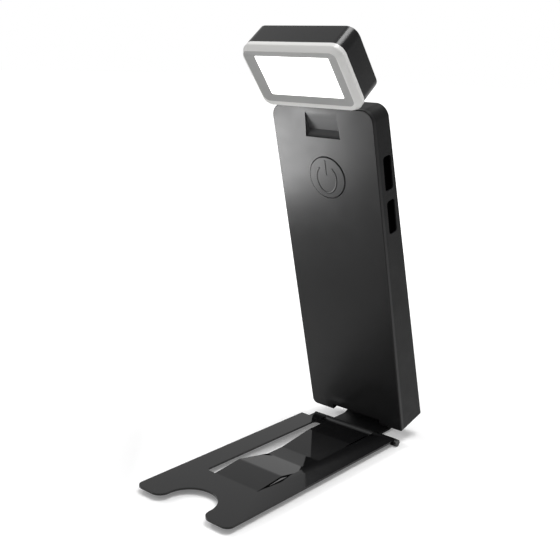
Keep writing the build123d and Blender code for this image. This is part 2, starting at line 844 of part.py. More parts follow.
# Hinge pin with a flat head, and the spring washers that give the hinge its friction
with BuildPart() as clip_pin:
    with BuildSketch(Plane.YZ.offset(-barrel_left_end + seat_clearance)):
        with Locations((hinge_y, hinge_z)):
            Circle(pin_radius)
    extrude(amount=barrel_left_end - seat_clearance + plate_half + pin_head_gap)
    with BuildSketch(Plane.YZ.offset(plate_half + pin_head_gap)):
        with Locations((hinge_y, hinge_z)):
            Circle(pin_head_radius)
    extrude(amount=pin_head_length)
write(clip_pin.part, "clip_pin")

with BuildPart() as clip_washers:
    for side in (-1, 1):
        washer_start = side * (leaf_half + (knuckle_gap - washer_thickness) / 2)
        with BuildSketch(Plane.YZ.offset(washer_start)):
            with Locations((hinge_y, hinge_z)):
                Circle(barrel_radius - seat_clearance)
                Circle(bore_radius, mode=Mode.SUBTRACT)
        extrude(amount=side * washer_thickness)
write(clip_washers.part, "clip_washers")

# Neck link between the slot of the case and the slot of the head
neck_axis = Vector(neck_axis_depth, neck_axis_height, 0)
head_axis_world = head_side.from_local_coords(Vector(head_axis_depth, head_axis_height, 0))
head_axis = case_side.to_local_coords(head_axis_world)
neck_reach = head_axis - neck_axis
with BuildPart() as neck_link:
    with BuildSketch(case_side):
        with Locations((neck_axis.X, neck_axis.Y), (head_axis.X, head_axis.Y)):
            Circle(knuckle_radius)
        with Locations(((neck_axis.X + head_axis.X) / 2, (neck_axis.Y + head_axis.Y) / 2)):
            neck_turn = degrees(atan(-neck_reach.X / neck_reach.Y))
            Rectangle(neck_waist, neck_reach.length, rotation=neck_turn)
        with Locations((neck_axis.X, neck_axis.Y), (head_axis.X, head_axis.Y)):
            Circle(neck_pin_radius + pin_clearance, mode=Mode.SUBTRACT)
    extrude(amount=neck_width / 2, both=True)
write(neck_link.part, "neck_link")

for pin_name, pin_plane, pin_centre in (
    ("neck_pin", case_side, (neck_axis_depth, neck_axis_height)),
    ("head_pin", head_side, (head_axis_depth, head_axis_height)),
):
    with BuildPart() as neck_pin:
        with BuildSketch(pin_plane):
            with Locations(pin_centre):
                Circle(neck_pin_radius)
        extrude(amount=neck_pin_length / 2, both=True)
    write(neck_pin.part, pin_name)

# Head housing: a tub with a spigot for the bezel and a slot at its lower back for the neck
with BuildPart() as head_housing:
    with BuildSketch(head_front.offset(-bezel_depth)):
        head_outline()
    extrude(amount=-(head_depth - bezel_depth))
    back_face = head_housing.faces().sort_by(Axis(head_front.origin, head_front.z_dir))[0]
    chamfer(back_face.edges(), head_back_chamfer)
    with BuildSketch(head_front.offset(-bezel_depth)):
        head_outline(housing_wall, head_corner_radius - housing_wall)
    extrude(amount=-(head_depth - housing_wall - bezel_depth), mode=Mode.SUBTRACT)
    # Spigot that the bezel snaps over, open at the top for the strip of diodes
    spigot_outer = bezel_wall + seat_clearance
    spigot_inner = spigot_outer + spigot_thickness
    for spigot_start, spigot_end, outer in (
        (bezel_depth - spigot_length, bezel_depth, spigot_outer),
        (bezel_depth, bezel_depth + spigot_length, housing_wall / 2),
    ):
        with BuildSketch(head_front.offset(-spigot_start)):
            head_outline(outer, head_corner_radius - outer)
            head_outline(spigot_inner, head_corner_radius - spigot_inner, mode=Mode.SUBTRACT)
            box_between(
                (-led_board_width / 2 - housing_wall, led_bottom - stack_gap),
                (led_board_width / 2 + housing_wall, head_height - housing_wall),
                mode=Mode.SUBTRACT,
            )
        extrude(amount=spigot_start - spigot_end)
    # Ribs behind the light guide, and the box round the slot
    with BuildSketch(head_front.offset(-stack_back - stack_gap)):
        for side in (-1, 1):
            rib_x = side * head_rib_offset
            box_between(
                (rib_x - head_rib_thickness / 2, housing_wall / 2),
                (rib_x + head_rib_thickness / 2, led_bottom - stack_gap),
            )
    extrude(amount=-(head_depth - housing_wall / 2 - stack_back - stack_gap))
    slot_top = head_axis_height + knuckle_radius + slot_clearance
    slot_block_half = neck_pin_length / 2 + seat_clearance + housing_wall
    with BuildSketch(head_side):
        box_between(
            (stack_back + stack_gap, housing_wall / 2),
            (head_depth - housing_wall / 2, slot_top + slot_wall),
        )
    extrude(amount=slot_block_half, both=True)
    with BuildSketch(head_side):
        with Locations((head_axis_depth, head_axis_height)):
            Circle(knuckle_radius + slot_clearance)
        Polygon(
            (slot_front_depth + slot_wall, -1),
            (head_depth + 1, -1),
            (head_depth + 1, slot_top),
            (head_axis_depth, slot_top),
            (head_axis_depth - knuckle_radius - slot_clearance, head_axis_height),
        )
    extrude(amount=slot_half_width, both=True, mode=Mode.SUBTRACT)
    with BuildSketch(head_side):
        with Locations((head_axis_depth, head_axis_height)):
            Circle(neck_pin_radius + pin_clearance)
    extrude(amount=neck_pin_length / 2 + seat_clearance, both=True, mode=Mode.SUBTRACT)
write(head_housing.part, "head_housing")

# Bezel: a pale frame with a rounded outer edge and a bevel that runs in to the window
with BuildPart() as head_bezel:
    with BuildSketch(head_front):
        head_outline()
    extrude(amount=-bezel_depth)
    face_edges = head_bezel.faces().sort_by(Axis(head_front.origin, head_front.z_dir))[-1].edges()
    chamfer(face_edges, bezel_edge_chamfer)
    with BuildSketch(head_front):
        head_outline(bezel_rim, rim_corner_radius)
    with BuildSketch(head_front.offset(-window_depth)):
        head_outline(window_inset, window_corner_radius)
    loft(ruled=True, mode=Mode.SUBTRACT)
    with BuildSketch(head_front):
        head_outline(window_inset, window_corner_radius)
    extrude(amount=-bezel_depth, mode=Mode.SUBTRACT)
    with BuildSketch(head_front.offset(-bezel_lip)):
        head_outline(bezel_wall, head_corner_radius - bezel_wall)
    extrude(amount=-bezel_depth, mode=Mode.SUBTRACT)
write(head_bezel.part, "head_bezel")

# Diffuser, light guide and reflector, stacked behind the lip of the bezel
layer_front = bezel_lip + stack_gap
for layer_name, layer_thickness in (
    ("diffuser_panel", diffuser_thickness),
    ("light_guide", guide_thickness),
    ("reflector_sheet", reflector_thickness),
):
    with BuildPart() as layer:
        with BuildSketch(head_front.offset(-layer_front)):
            box_between(
                (-head_width / 2 + stack_inset, stack_inset),
                (head_width / 2 - stack_inset, head_height - stack_inset),
            )
        extrude(amount=-layer_thickness)
        if layer_name == "diffuser_panel":
            # The raised middle fills the window of the bezel
            with BuildSketch(head_front.offset(-layer_front)):
                head_outline(window_inset + window_clearance, window_corner_radius - window_clearance)
            extrude(amount=layer_front - window_depth)
    write(layer.part, layer_name)
    layer_front += layer_thickness + stack_gap

# Strip of light-emitting diodes along the top edge of the light guide
with BuildPart() as leds:
    with BuildSketch(head_level.offset(led_bottom)):
        with Locations((0, led_front + led_depth / 2)):
            with GridLocations(led_pitch, 1, led_count, 1):
                Rectangle(led_length, led_depth)
    extrude(amount=led_height)
write(leds.part, "leds")

with BuildPart() as led_board:
    with BuildSketch(head_level.offset(led_bottom + led_height)):
        box_between((-led_board_width / 2, led_front), (led_board_width / 2, led_front + led_board_depth))
    extrude(amount=led_board_thickness)
write(led_board.part, "led_board")
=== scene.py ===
import json
import math

import bpy
import numpy as np
from mathutils import Matrix, Vector


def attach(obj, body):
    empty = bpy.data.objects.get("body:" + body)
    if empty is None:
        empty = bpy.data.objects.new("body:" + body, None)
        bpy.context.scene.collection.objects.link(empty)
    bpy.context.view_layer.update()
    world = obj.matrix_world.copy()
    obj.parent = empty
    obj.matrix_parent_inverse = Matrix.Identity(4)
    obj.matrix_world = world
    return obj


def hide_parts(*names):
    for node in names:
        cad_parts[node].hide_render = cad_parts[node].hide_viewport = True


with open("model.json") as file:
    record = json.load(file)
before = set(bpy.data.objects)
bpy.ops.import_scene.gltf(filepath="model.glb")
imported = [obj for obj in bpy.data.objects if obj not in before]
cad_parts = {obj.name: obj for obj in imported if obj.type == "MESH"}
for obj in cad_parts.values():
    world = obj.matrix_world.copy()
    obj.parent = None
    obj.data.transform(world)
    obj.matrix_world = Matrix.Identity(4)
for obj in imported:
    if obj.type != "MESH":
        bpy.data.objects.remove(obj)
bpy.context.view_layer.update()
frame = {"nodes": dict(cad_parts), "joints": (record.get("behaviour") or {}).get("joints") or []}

# Case shells: a front cover and a tapered rear shell with its battery door, all moulded in
# charcoal plastic. The tool faces are spark-eroded, so the skin is a fine even grain, a little
# smoother on the front than on the sides, and coarse in the thumb scoop. The scoop is also
# painted paler, a painted glow that stands in for the lamp's light falling into it.
press_axis = next(joint["axis"] for joint in frame["joints"] if joint["name"] == "power_press")
case_back = Vector(press_axis).normalized()
case_up = Vector((1, 0, 0)).cross(case_back)
joined_within = 1e-6
smooth_below = math.radians(32)
fine_detail = 3.0
tone_scale = 38.0
tone_detail = 2.0
polish_scale = 120.0
polish_detail = 4.0
mask_low = 0.3
mask_high = 0.7
cover_skin = {
    "dark": (0.0062, 0.0062, 0.0064),
    "light": (0.0078, 0.0078, 0.008),
    "rough": (0.31, 0.37),
    "pits": 2600,
    "depth": 0.000008,
    "specular": 0.22,
}
# Painted glow: the scoop's paler colour stands in for the lamp's light falling into it.
scoop_painted_glow_colour = (0.075, 0.075, 0.076)
scoop_rough = 0.6
scoop_start = 0.00003
scoop_fade = 0.0012
scoop_foot = 0.0126
scoop_foot_blur = 0.0002
scoop_reach = 0.0098
scoop_side_blur = 0.0001


def even_shading():
    """Modifier tree that joins loose triangles and keeps an edge sharp where it turns steeply."""
    tree = bpy.data.node_groups.new("even_shading", "GeometryNodeTree")
    tree.is_modifier = True
    tree.interface.new_socket("Geometry", in_out="INPUT", socket_type="NodeSocketGeometry")
    tree.interface.new_socket("Geometry", in_out="OUTPUT", socket_type="NodeSocketGeometry")
    start = tree.nodes.new("NodeGroupInput")
    merge = tree.nodes.new("GeometryNodeMergeByDistance")
    merge.inputs["Distance"].default_value = joined_within
    faces = tree.nodes.new("GeometryNodeSetShadeSmooth")
    faces.domain = "FACE"
    turn = tree.nodes.new("GeometryNodeInputMeshEdgeAngle")
    steep = tree.nodes.new("FunctionNodeCompare")
    steep.data_type = "FLOAT"
    steep.operation = "GREATER_THAN"
    steep.inputs[1].default_value = smooth_below
    edges = tree.nodes.new("GeometryNodeSetShadeSmooth")
    edges.domain = "EDGE"
    edges.inputs["Shade Smooth"].default_value = False
    end = tree.nodes.new("NodeGroupOutput")
    tree.links.new(start.outputs[0], merge.inputs["Geometry"])
    tree.links.new(merge.outputs[0], faces.inputs["Geometry"])
    tree.links.new(faces.outputs[0], edges.inputs["Geometry"])
    tree.links.new(turn.outputs["Unsigned Angle"], steep.inputs[0])
    tree.links.new(steep.outputs[0], edges.inputs["Selection"])
    tree.links.new(edges.outputs[0], end.inputs[0])
    return tree


shading_tree = even_shading()


def dress(node, material):
    """Gives a node of the frame its finish and joins its triangles, and leaves its shape alone."""
    piece = frame["nodes"][node]
    piece.data.materials.clear()
    piece.data.materials.append(material)
    shade = piece.modifiers.new("even_shading", "NODES")
    shade.node_group = shading_tree


def moulded_skin():
    """Shader group: pits of an eroded tool, fine enough to blur, and a slow change of tone.

    Grain is a height from 0 to 1, the distance from the nearest pit times a fine noise. Tone and
    Polish are slow masks from 0 to 1.
    """
    group = bpy.data.node_groups.new("moulded_skin", "ShaderNodeTree")
    group.interface.new_socket("Vector", in_out="INPUT", socket_type="NodeSocketVector")
    group.interface.new_socket("Pits per Metre", in_out="INPUT", socket_type="NodeSocketFloat")
    for name in ("Grain", "Tone", "Polish"):
        group.interface.new_socket(name, in_out="OUTPUT", socket_type="NodeSocketFloat")
    start = group.nodes.new("NodeGroupInput")
    end = group.nodes.new("NodeGroupOutput")
    pits = group.nodes.new("ShaderNodeTexVoronoi")
    pits.inputs["Randomness"].default_value = 1.0
    fine = group.nodes.new("ShaderNodeTexNoise")
    fine.inputs["Detail"].default_value = fine_detail
    both = group.nodes.new("ShaderNodeMath")
    both.operation = "MULTIPLY"
    tone = group.nodes.new("ShaderNodeTexNoise")
    tone.inputs["Scale"].default_value = tone_scale
    tone.inputs["Detail"].default_value = tone_detail
    polish = group.nodes.new("ShaderNodeTexNoise")
    polish.inputs["Scale"].default_value = polish_scale
    polish.inputs["Detail"].default_value = polish_detail
    for texture in (pits, fine, tone, polish):
        group.links.new(start.outputs["Vector"], texture.inputs["Vector"])
    for texture in (pits, fine):
        group.links.new(start.outputs["Pits per Metre"], texture.inputs["Scale"])
    group.links.new(pits.outputs["Distance"], both.inputs[0])
    group.links.new(fine.outputs["Fac"], both.inputs[1])
    group.links.new(both.outputs[0], end.inputs["Grain"])
    group.links.new(tone.outputs["Fac"], end.inputs["Tone"])
    group.links.new(polish.outputs["Fac"], end.inputs["Polish"])
    return group


skin_group = moulded_skin()


def ranged(tree, value, low, high, start=0.0, end=1.0, ease="LINEAR"):
    """Socket that goes from start to end while a value goes from low to high, and stays there."""
    spread = tree.nodes.new("ShaderNodeMapRange")
    spread.interpolation_type = ease
    spread.inputs["From Min"].default_value = low
    spread.inputs["From Max"].default_value = high
    spread.inputs["To Min"].default_value = start
    spread.inputs["To Max"].default_value = end
    tree.links.new(value, spread.inputs["Value"])
    return spread.outputs["Result"]


def skinned(name, pits, depth, height):
    """New material whose bump is one output of the skin, with a depth in metres."""
    material = bpy.data.materials.new(name)
    material.use_nodes = True
    tree = material.node_tree
    surface = tree.nodes["Principled BSDF"]
    place = tree.nodes.new("ShaderNodeTexCoord")
    skin = tree.nodes.new("ShaderNodeGroup")
    skin.node_tree = skin_group
    skin.inputs["Pits per Metre"].default_value = pits
    bump = tree.nodes.new("ShaderNodeBump")
    bump.inputs["Distance"].default_value = depth
    tree.links.new(place.outputs["Object"], skin.inputs["Vector"])
    tree.links.new(skin.outputs[height], bump.inputs["Height"])
    tree.links.new(bump.outputs["Normal"], surface.inputs["Normal"])
    return material, surface, skin


def finish(name, dark, light, rough, pits, depth, specular=0.5, metallic=0.0):
    """Finish with two tones of colour, a range of roughness, and pits of a depth in metres."""
    material, surface, skin = skinned(name, pits, depth, "Grain")
    tree = material.node_tree
    surface.inputs["Specular IOR Level"].default_value = specular
    surface.inputs["Metallic"].default_value = metallic
    tones = tree.nodes.new("ShaderNodeValToRGB")
    tones.color_ramp.elements[0].position = mask_low
    tones.color_ramp.elements[0].color = (*dark, 1)
    tones.color_ramp.elements[1].position = mask_high
    tones.color_ramp.elements[1].color = (*light, 1)
    gloss = ranged(tree, skin.outputs["Polish"], mask_low, mask_high, *rough)
    tree.links.new(skin.outputs["Tone"], tones.inputs["Fac"])
    tree.links.new(tones.outputs["Color"], surface.inputs["Base Color"])
    tree.links.new(gloss, surface.inputs["Roughness"])
    return material


cover_plastic = finish("charcoal_cover", **cover_skin)
shell_plastic = finish(
    "charcoal_shell",
    dark=(0.0075, 0.0075, 0.0078),
    light=(0.0095, 0.0095, 0.0098),
    rough=(0.4, 0.48),
    pits=1700,
    depth=0.00005,
    specular=0.13,
)


def points_of(node):
    """All the points of a node, one row each, in metres."""
    mesh = frame["nodes"][node].data
    points = np.empty(len(mesh.vertices) * 3)
    mesh.vertices.foreach_get("co", points)
    return points.reshape(-1, 3)


def spread_along(node, direction):
    """Lowest and highest place of a node along a direction, in metres."""
    along = points_of(node) @ np.array(direction)
    return along.min(), along.max()


def matt_scoop_painted_glow(material, face, foot):
    """Turns the finish coarse in the scoop, and paints it paler there as a painted glow of the
    lamp.

    The mask is the product of three steps: depth below the cover's face, height above the foot of
    the scoop, and distance from the middle.
    """
    tree = material.node_tree
    surface = tree.nodes["Principled BSDF"]
    place = tree.nodes.new("ShaderNodeTexCoord")
    steps = []
    for direction, low, high in (
        (case_back, face + scoop_start, face + scoop_fade),
        (case_up, foot - scoop_foot_blur, foot + scoop_foot_blur),
    ):
        along = tree.nodes.new("ShaderNodeVectorMath")
        along.operation = "DOT_PRODUCT"
        along.inputs[1].default_value = direction
        tree.links.new(place.outputs["Object"], along.inputs[0])
        steps.append(ranged(tree, along.outputs["Value"], low, high))
    split = tree.nodes.new("ShaderNodeSeparateXYZ")
    tree.links.new(place.outputs["Object"], split.inputs[0])
    aside = tree.nodes.new("ShaderNodeMath")
    aside.operation = "ABSOLUTE"
    tree.links.new(split.outputs["X"], aside.inputs[0])
    steps.append(ranged(tree, aside.outputs[0], scoop_reach, scoop_reach - scoop_side_blur))
    mask = steps[0]
    for step in steps[1:]:
        both = tree.nodes.new("ShaderNodeMath")
        both.operation = "MULTIPLY"
        tree.links.new(mask, both.inputs[0])
        tree.links.new(step, both.inputs[1])
        mask = both.outputs[0]
    # Painted glow: the paler base colour in the scoop stands in for light; the higher roughness is
    # a real matt finish.
    for kind, value, name in (
        ("RGBA", (*scoop_painted_glow_colour, 1), "Base Color"),
        ("FLOAT", scoop_rough, "Roughness"),
    ):
        mix = tree.nodes.new("ShaderNodeMix")
        mix.data_type = kind
        share, plain, changed = [socket for socket in mix.inputs if socket.enabled]
        changed.default_value = value
        mixed = next(socket for socket in mix.outputs if socket.enabled)
        tree.links.new(mask, share)
        tree.links.new(surface.inputs[name].links[0].from_socket, plain)
        tree.links.new(mixed, surface.inputs[name])


cover_face = spread_along("front_cover", case_back)[0]
cover_top = spread_along("front_cover", case_up)[1]
matt_scoop_painted_glow(cover_plastic, cover_face, cover_top - scoop_foot)
dress("front_cover", cover_plastic)
dress("rear_shell", shell_plastic)
dress("battery_door", shell_plastic)

# Cells and contacts: three cells in plain satin jackets, pressed by nickel-plated springs
# against nickel-plated strips at both ends of the bay.
jacket = finish(
    "cell_jacket",
    dark=(0.42, 0.42, 0.43),
    light=(0.5, 0.5, 0.51),
    rough=(0.28, 0.36),
    pits=900,
    depth=0.00001,
    metallic=0.85,
)
plated = finish(
    "bright_plating",
    dark=(0.55, 0.54, 0.51),
    light=(0.66, 0.65, 0.62),
    rough=(0.18, 0.3),
    pits=1500,
    depth=0.00001,
    metallic=1.0,
)
dress("battery_cells", jacket)
dress("battery_springs", plated)
dress("contact_plates", plated)

# Circuit board: green solder resist over glass laminate, with moulded switches, a driver chip
# and small parts soldered on. None of it shows while the case is closed.
laminate = finish(
    "solder_resist",
    dark=(0.01, 0.1, 0.035),
    light=(0.015, 0.13, 0.05),
    rough=(0.3, 0.4),
    pits=1200,
    depth=0.00001,
)
moulding = finish(
    "black_moulding",
    dark=(0.012, 0.012, 0.012),
    light=(0.02, 0.02, 0.02),
    rough=(0.45, 0.55),
    pits=1500,
    depth=0.00002,
)
dress("circuit_board", laminate)
for node in ("power_switch", "side_switches", "driver_chip", "board_parts"):
    dress(node, moulding)

# Side keys: two bars of soft black rubber in the side wall, one to make the light brighter and
# one to make it dimmer. They take up almost all the light that reaches them.
key_rubber = finish(
    "key_rubber",
    dark=(0.0008, 0.0008, 0.0008),
    light=(0.0012, 0.0012, 0.0012),
    rough=(0.8, 0.9),
    pits=2200,
    depth=0.00003,
    specular=0.0,
)
dress("brightness_up_key", key_rubber)
dress("brightness_down_key", key_rubber)

# Power button: a satin disc that is nearly flush with the cover, with a raised power symbol
# moulded on it in the same plastic. The symbol is an open ring, a little longer at its foot, and
# a bar in its gap.
symbol_radius = 0.00475
symbol_foot = 0.0062
symbol_left = 0.0003
symbol_gap = math.radians(34)
symbol_width = 0.0008
symbol_rise = 0.00014
symbol_sink = 0.0001
symbol_least_taper = 0.02
section_steps = 13
bar_bottom = 0.0009
bar_top = 0.0072
bar_steps = 24
arc_steps = 72
button_plastic = finish("charcoal_button", **cover_skin)
dress("power_button", button_plastic)


def mesh_piece(name, points, quads, material, body):
    """Makes a piece of points and faces in the frame, with even shading, that rides on a body."""
    mesh = bpy.data.meshes.new(name)
    mesh.from_pydata(points.reshape(-1, 3).tolist(), [], quads)
    mesh.validate()
    mesh.materials.append(material)
    mesh.polygons.foreach_set("use_smooth", [True] * len(mesh.polygons))
    mesh.set_sharp_from_angle(angle=smooth_below)
    piece = bpy.data.objects.new(name, mesh)
    bpy.context.scene.collection.objects.link(piece)
    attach(piece, body)
    return piece


def grid_quads(rows, columns, closed_rows=False, closed_columns=False):
    """Faces of a grid of points, row by row, that may close on itself either way."""
    last_row = rows if closed_rows else rows - 1
    last_column = columns if closed_columns else columns - 1
    row, column = np.meshgrid(np.arange(last_row), np.arange(last_column), indexing="ij")
    next_row = (row + 1) % rows
    next_column = (column + 1) % columns
    quads = np.stack(
        [
            row * columns + column,
            row * columns + next_column,
            next_row * columns + next_column,
            next_row * columns + column,
        ],
        axis=-1,
    )
    return quads.reshape(-1, 4).tolist()


def tube_faces(rows, columns):
    """Faces of a tube with both its ends closed.

    They point outwards where each row goes round clockwise, seen from the first row's end.
    """
    first = list(range(columns - 1, -1, -1))
    last = list(range((rows - 1) * columns, rows * columns))
    return grid_quads(rows, columns, closed_columns=True) + [first, last]


def leaning(across, upward, backward, up, back):
    """Points of a leaning part: places to the right, up along it and back through it, added up."""
    return (
        across[..., None] * np.array([1.0, 0, 0])
        + upward[..., None] * np.array(up)
        + backward[..., None] * np.array(back)
    )


def raised_line(path, width, rise, sink):
    """Solid of a low rounded line that follows a path on a flat face.

    Across the path the height is half an ellipse: the rise times the root of one less the square
    of the share of the half width. The ends taper round in the same way, and the flat underside
    lies a little inside the face.
    """
    path = np.array(path)
    step = np.gradient(path, axis=0)
    step /= np.linalg.norm(step, axis=1, keepdims=True)
    across = np.stack([-step[:, 1], step[:, 0]], axis=-1)
    length = np.concatenate([[0], np.cumsum(np.linalg.norm(np.diff(path, axis=0), axis=1))])
    to_end = np.minimum(length, length[-1] - length)
    taper = np.sqrt(1 - (1 - np.clip(to_end / (width / 2), 0, 1)) ** 2)
    taper = np.maximum(taper, symbol_least_taper)[:, None, None]
    share = np.cos(np.linspace(0, math.pi, section_steps))
    top = np.stack([share, rise * np.sqrt(np.clip(1 - share**2, 0, 1))], axis=-1)
    base = np.array([[-1, -sink], [1, -sink]])
    section = np.concatenate([top, base])[None, :, :]
    flat = path[:, None, :] + across[:, None, :] * (width / 2 * taper * section[..., :1])
    height = section[..., 1:] * np.where(section[..., 1:] > 0, taper, 1)
    return np.concatenate([flat, height], axis=-1)


def raised_piece(name, path, origin, material, body):
    """A raised line on the button, placed by its centre and closed at both ends."""
    line = raised_line(path, symbol_width, symbol_rise, symbol_sink)
    placed = leaning(line[..., 0], line[..., 1], -line[..., 2], case_up, case_back)
    points = np.array(origin) + placed
    return mesh_piece(name, points, tube_faces(*line.shape[:2]), material, body)


button_low, button_high = spread_along("power_button", case_up)
button_face = spread_along("power_button", case_back)[0]
button_centre = case_up * ((button_low + button_high) / 2) + case_back * button_face
turns = np.linspace(math.pi / 2 + symbol_gap, 2.5 * math.pi - symbol_gap, arc_steps)
ring_height = np.where(np.sin(turns) < 0, symbol_foot, symbol_radius) * np.sin(turns)
ring_path = np.stack([symbol_radius * np.cos(turns) - symbol_left, ring_height], axis=-1)
bar_height = np.linspace(bar_bottom, bar_top, bar_steps)
bar_path = np.stack([np.full(bar_steps, -symbol_left), bar_height], axis=-1)
for name, path in (("power_symbol_ring", ring_path), ("power_symbol_bar", bar_path)):
    raised_piece(name, path, button_centre, button_plastic, "power_button")

# Case screws: four small cross-head screws of blackened steel, put in from the back. Each head
# has a rounded rim and a cross recess with sloping walls.
blackened = finish(
    "blackened_steel",
    dark=(0.05, 0.05, 0.05),
    light=(0.08, 0.08, 0.08),
    rough=(0.3, 0.42),
    pits=2500,
    depth=0.00001,
    metallic=0.9,
)
screw_radius = 0.0018
screw_thickness = 0.0008
screw_rim = 0.00015
screw_pole = 0.00002
shank_radius = 0.0009
tip_radius = shank_radius / 4
tip_length = shank_radius
recess_depth = 0.0006
recess_half_length = 0.00115
recess_half_width = 0.00028
recess_slope = 0.00022
screw_points_round = 96
screw_rings = 26
screw_rim_steps = 5


def cross_recess(x, y):
    """Depth of a cross recess at a place on the head.

    Each bar is the product of two ramps, which go from 0 to 1 over the slope: one inwards from the
    bar's ends and one inwards from its sides. The cross takes the deeper of the two bars.
    """
    bars = []
    for along, across in ((x, y), (y, x)):
        ends = np.clip((recess_half_length - np.abs(along)) / recess_slope, 0, 1)
        sides = (recess_half_width + recess_slope / 2 - np.abs(across)) / recess_slope
        bars.append(ends * np.clip(sides, 0, 1))
    return recess_depth * np.maximum(*bars)


def screw_rows(length):
    """Rings of a screw, from the middle of its head to its tip, as radius and depth from its face.

    The rim is a quarter circle between the flat of the head and its side.
    """
    flat_radius = screw_radius - screw_rim
    flat = np.linspace(screw_pole, flat_radius, screw_rings)
    turn = np.linspace(0, math.pi / 2, screw_rim_steps)[1:]
    rim = [flat_radius + screw_rim * np.sin(turn), screw_rim * (1 - np.cos(turn))]
    rest = [
        (screw_radius, screw_thickness),
        (shank_radius, screw_thickness),
        (shank_radius, length - tip_length),
        (tip_radius, length),
    ]
    flat = np.stack([flat, np.zeros(screw_rings)], axis=-1)
    return np.concatenate([flat, np.stack(rim, axis=-1), rest])


screw_spots = points_of("case_screws")
spot_up = screw_spots @ np.array(case_up)
spot_back = screw_spots @ np.array(case_back)
middle_up = (spot_up.min() + spot_up.max()) / 2
round_turns = np.linspace(0, 2 * math.pi, screw_points_round, endpoint=False)
screw_points = []
screw_faces = []
for left_side in (True, False):
    for upper in (True, False):
        own = ((screw_spots[:, 0] < 0) == left_side) & ((spot_up > middle_up) == upper)
        middle_x = (screw_spots[own, 0].min() + screw_spots[own, 0].max()) / 2
        height = (spot_up[own].min() + spot_up[own].max()) / 2
        head_place = spot_back[own].max()
        rows = screw_rows(head_place - spot_back[own].min())
        x = rows[:, :1] * np.cos(round_turns)
        y = rows[:, :1] * np.sin(round_turns)
        sunk = rows[:, 1:] + np.zeros_like(x)
        sunk[:screw_rings] += cross_recess(x[:screw_rings], y[:screw_rings])
        first = len(screw_points) * x.size
        screw_faces += [[first + point for point in face] for face in tube_faces(*x.shape)]
        screw_points.append(
            leaning(middle_x + x, height + y, head_place - sunk, case_up, case_back)
        )
screws = mesh_piece(
    "cross_head_screws", np.array(screw_points), screw_faces, blackened, "case"
)
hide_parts("case_screws")

# Clip: the plate with its spring tongue and the hinge leaf are spring steel with a black enamel,
# which has a faint orange peel. It is glossy on the plate and matt on the leaf. The pin and its
# spring washers are blackened steel.
enamel_colour = (0.004, 0.004, 0.0043)
enamel_specular = 0.33
enamel_peel = 900
enamel_depth = 0.000001


def enamel(name, rough):
    """Enamel on steel: one deep colour, slow changes of gloss, and a faint orange peel."""
    material, surface, skin = skinned(name, enamel_peel, enamel_depth, "Polish")
    tree = material.node_tree
    surface.inputs["Base Color"].default_value = (*enamel_colour, 1)
    surface.inputs["Specular IOR Level"].default_value = enamel_specular
    gloss = ranged(tree, skin.outputs["Tone"], mask_low, mask_high, *rough)
    tree.links.new(gloss, surface.inputs["Roughness"])
    return material


dress("hinge_leaf", enamel("leaf_enamel", rough=(0.5, 0.6)))
dress("clip_plate", enamel("black_enamel", rough=(0.03, 0.06)))
dress("clip_pin", blackened)
dress("clip_washers", blackened)

# Neck: a short moulded link on two plated pins, between the case and the back of the head. It
# swings on the pin in the case, and the head tilts on the other.
dress("neck_link", shell_plastic)
dress("neck_pin", plated)
dress("head_pin", plated)

# Head housing: a rounded tub of the same charcoal plastic, a little glossier than the case. It
# holds the light source, and the bezel closes its front.
housing_plastic = finish(
    "charcoal_housing",
    dark=(0.0075, 0.0075, 0.0078),
    light=(0.009, 0.009, 0.0093),
    rough=(0.17, 0.22),
    pits=2600,
    depth=0.000004,
    specular=0.38,
)
dress("head_housing", housing_plastic)

# Bezel: the pale frame of the lamp, moulded in warm light grey. A bevelled outer edge runs into a
# narrow rim, which is broader at its foot, and a shallow bevel leads from there in to the window.
# The bevel is painted a darker grey, a painted shade, and the outer wall is painted a lighter grey,
# a painted highlight.
case_lean_degrees = 15
head_tilt_degrees = 23.4
head_lean = math.radians(case_lean_degrees + head_tilt_degrees)
head_back = Vector((0, math.cos(head_lean), math.sin(head_lean)))
head_up = Vector((0, -math.sin(head_lean), math.cos(head_lean)))
bezel_width = 0.0460
bezel_height = 0.0275
bezel_drop = 0.0006
bezel_depth = 0.0040
bezel_wall = 0.0016
outer_corner = 0.0045
facet_width = 0.00125
facet_depth = 0.0021
facet_round = 0.0003
rim_width = 0.0426
rim_height = 0.0230
rim_rise = 0.0008
rim_corner = 0.0025
rim_round = 0.0002
round_ratio = 3
window_width = 0.0342
window_height = 0.0177
window_rise = 0.0008
window_depth = 0.0008
window_corner = 0.0006
lip_depth = 0.0014
bend_steps = 5
corner_steps = 14
bevel_bands = 3
pale_plastic = finish(
    "pale_bezel",
    dark=(0.685, 0.68, 0.665),
    light=(0.725, 0.72, 0.705),
    rough=(0.34, 0.44),
    pits=2400,
    depth=0.00002,
)
# Painted shade: a darker copy of the pale plastic for the inner bevel, standing in for the shade in
# it.
bevel_painted_shade = finish(
    "painted_shade_bevel",
    dark=(0.315, 0.315, 0.31),
    light=(0.355, 0.355, 0.35),
    rough=(0.4, 0.5),
    pits=2400,
    depth=0.00002,
)
# Painted highlight: a lighter copy of the pale plastic for the outer wall, standing in for the
# light on it.
edge_painted_light = finish(
    "painted_light_edge",
    dark=(0.8, 0.795, 0.78),
    light=(0.84, 0.835, 0.82),
    rough=(0.2, 0.28),
    pits=2400,
    depth=0.000005,
)


def bent(start, middle, end, steps):
    """Points of a curve that leaves its start towards its middle and comes to its end from there.

    Each is a mean of the three, with weights of the square of what is left of the way, twice that
    times the way gone, and the square of the way gone.
    """
    share = np.linspace(0, 1, steps)[:, None]
    start, middle, end = np.array(start), np.array(middle), np.array(end)
    return (1 - share) ** 2 * start + 2 * share * (1 - share) * middle + share**2 * end


